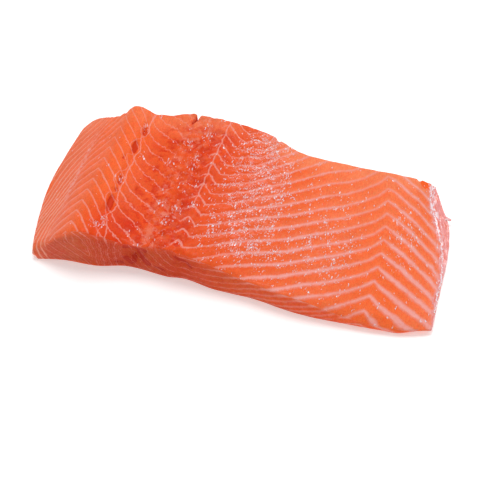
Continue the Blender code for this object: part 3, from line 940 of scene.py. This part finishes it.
def fleshColour(tree, at):
    look, placeY, flatU, cut = fleshLook, at.placeY, at.flatU, at.cutFace
    colour = toneRamp(tree, look["tones"], flatU)
    # painted sheen: lighter towards the rear of the belly
    pale = times(tree, ramp(tree, placeY, -10.0, 30.0), ramp(tree, flatU, 5.0, 40.0), 0.6)
    colour = paint(tree, colour, pale, "rearSheenTone")
    # each band is lighter towards the fat line in front of it
    bandFade = times(tree, ramp(tree, calc(tree, "FRACT", at.lineCount), 0.62, 0.12),
                     ramp(tree, flatU, -8.0, 12.0), at.top, ramp(tree, placeY, -22.0, -4.0, 0.12, 0.3))
    colour = paint(tree, colour, bandFade, "bandTone")
    # painted sheen along the rear rim
    rearRimSheen = times(tree, ramp(tree, placeY, 22.0, 34.0), lookup(tree, look["rimSheenShare"], flatU))
    colour = paint(tree, colour, rearRimSheen, "rimSheenTone")
    warm = times(tree, ramp(tree, placeY, -8.0, -26.0), near(tree, flatU, -50.0, 16.0, 4.0), at.top, 0.8)
    colour = paint(tree, colour, warm, "warmTone")
    colour = paint(tree, colour, at.red, "redTone")
    # mottling, fibres and the finest grain
    shade = ramp(tree, at.mottle, 0.3, 0.7, 0.94, 1.05)
    colour = shadeBy(tree, colour, shade, shade)
    colour = shadeBy(tree, colour, 1.0, ramp(tree, at.fibre, 0.3, 0.7, 0.82, 1.16))
    finest = patches(tree, at.place, 2.2, 0.3, 0.7, 0.92, 1.07, detail=2.0)
    colour = shadeBy(tree, colour, finest, finest)
    colour = paint(tree, colour, at.haze, "hazeTone")
    colour = paint(tree, colour, at.vein, "fatTone")
    # the cut faces darker: partly their own deeper tone, partly painted shade
    cutColourAndShade = blendColour(tree, 1.0, colour, toneRamp(tree, look["cutToneAndShade"], at.placeX), "MULTIPLY")
    cutShade = patches(tree, at.place, 0.9, 0.35, 0.65, 0.72, 1.18, detail=4.0, rough=0.7)
    colour = blendColour(tree, cut, colour, shadeBy(tree, cutColourAndShade, 1.0, cutShade))
    # deeper red in front of each fat line: partly the flesh's own tone, partly painted shade in front of the
    # raised line
    lipRedAndShade = times(tree, at.frontEdge, ramp(tree, flatU, -12.0, 12.0, 0.0, 0.16), at.top,
                ramp(tree, at.fibre, 0.4, 0.6))
    colour = paint(tree, colour, lipRedAndShade, "redTone")
    # on the cuts the gash tone, which also paints the shade under the rim
    spotTone = blendColour(tree, cut, tone(*look["pitTone"]), tone(*look["gashAndShadeTone"]))
    colour = blendColour(tree, times(tree, at.spots, ramp(tree, cut, 0.0, 1.0, 0.78, 0.9)), colour, spotTone)
    fatShare = calc(tree, "MAXIMUM", times(tree, at.fat, ramp(tree, cut, 0.0, 1.0, 0.85, 0.5)), at.faint)
    fatColour = blendColour(tree, times(tree, at.crest, at.top), tone(*look["fatTone"]),
                            tone(*look["crestTone"]))
    colour = blendColour(tree, fatShare, colour, fatColour)
    for share, name in ((at.slopeFat, "fineFatTone"), (at.band, "fatTone"), (at.strands, "fatTone"),
                        (at.smear, "smearTone"), (at.nearMembrane, "fatTone"),
                        (at.membrane, "membraneTone"), (at.fold, "foldTone"),
                        (ramp(tree, at.flap, 0.2, 0.35), "flapTone")):
        colour = paint(tree, colour, share, name)
    # the painted highlights are white, a little pink on the membrane
    whiteTone = blendColour(tree, at.membrane, tone(*look["fleckTone"]), tone(*look["membraneHighlightTone"]))
    return blendColour(tree, at.white, colour, whiteTone)


def fleshNormal(tree, at):
    height = calc(tree, "MULTIPLY_ADD", calc(tree, "MAXIMUM", at.fat, at.strands), 0.12, at.grainHeight)
    for mask, share in ((times(tree, at.membrane, at.streak), 2.0), (at.fleck, 0.8), (at.spots, -0.5)):
        height = calc(tree, "MULTIPLY_ADD", mask, share, height)
    inputs = {"Height": height, "Distance": fleshLook["bumpDistance"] * mm, "Strength": 1.0}
    return addNode(tree, "Bump", inputs).outputs["Normal"]


def makeFleshMaterial():
    material, tree, shader = newMaterial("salmonFlesh")
    at = readSurface(tree)
    for addMasks in (addFatLines, addSlopeLines, addStrands, addTornFlesh, addMembrane, addPaintedGlints,
                     addDarkSpots):
        addMasks(tree, at)
    # the painted glint spots and the membrane are smoother and have a coat
    shiny = calc(tree, "MAXIMUM", at.white, at.membrane)
    rough = ramp(tree, at.mottle, 0.3, 0.7, 0.52, 0.40)
    coat = calc(tree, "MAXIMUM", times(tree, at.wetness, 0.15), shiny)
    setInputs(tree, shader, fleshLook["surface"])
    setInputs(tree, shader, {
        "Base Color": fleshColour(tree, at),
        "Roughness": calc(tree, "SUBTRACT", rough, times(tree, shiny, 0.2)),
        "Coat Weight": calc(tree, "MULTIPLY_ADD", coat, 0.5, times(tree, at.top, 0.04)),
        "Normal": fleshNormal(tree, at),
    })
    return material


print("making the flesh material")
flesh.materials.append(makeFleshMaterial())
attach(filletFlesh, "root")
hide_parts(salmonNode)


# table, light and camera

studio = {
    "tableSize": 6.0,
    "tableTone": (0.93, 0.93, 0.93, 1.0),
    "tableGlow": 0.32,
    "skyStrength": 0.46,
    "lights": (       # name, place, size, watts
        ("topSoftbox", (-0.05, 0.16, 0.75), 0.24, 2.6),
        ("rearSoftbox", (0.35, 0.75, 0.75), 0.3, 2.0),
    ),
    "azimuth": 13.0,
    "elevation": 55.0,
    "lens": 69.98,
    "distance": 0.3967,
}


def makeTable():
    size = studio["tableSize"]
    mesh = bpy.data.meshes.new("table")
    corners = [(-size, -size, 0), (size, -size, 0), (size, size, 0), (-size, size, 0)]
    mesh.from_pydata(corners, [], [(0, 1, 2, 3)])
    material, tree, shader = newMaterial("tablePaper")
    setInputs(tree, shader, {"Base Color": studio["tableTone"], "Roughness": 0.9, "Specular IOR Level": 0.0,
                             "Emission Color": (1, 1, 1, 1), "Emission Strength": studio["tableGlow"]})
    mesh.materials.append(material)
    table = addObject("table", mesh)
    table.location.z = cadLow.z - 0.02 * mm


def makeLights():
    for name, place, size, watts in studio["lights"]:
        lamp = bpy.data.lights.new(name, "AREA")
        lamp.size = size
        lamp.energy = watts
        light = addObject(name, lamp)
        light.location = place
        light.rotation_euler = (-Vector(place)).to_track_quat("-Z", "Y").to_euler()
    world = bpy.data.worlds.new("studioSky")
    world.use_nodes = True
    setInputs(world.node_tree, world.node_tree.nodes["Background"],
              {"Color": (1, 1, 1, 1), "Strength": studio["skyStrength"]})
    bpy.context.scene.world = world


def makeCamera():
    turn, rise = math.radians(studio["azimuth"]), math.radians(studio["elevation"])
    back = Vector((math.sin(turn) * math.cos(rise), -math.cos(turn) * math.cos(rise), math.sin(rise)))
    lens = bpy.data.cameras.new("photoCamera")
    lens.lens = studio["lens"]
    lens.sensor_width = 36
    camera = addObject("photoCamera", lens)
    camera.location = Vector(shift * mm) + back * studio["distance"]
    camera.rotation_euler = (-back).to_track_quat("-Z", "Y").to_euler()
    bpy.context.scene.camera = camera


print("setting the table")
makeTable()
makeLights()
makeCamera()
bpy.context.scene.view_settings.view_transform = "Standard"
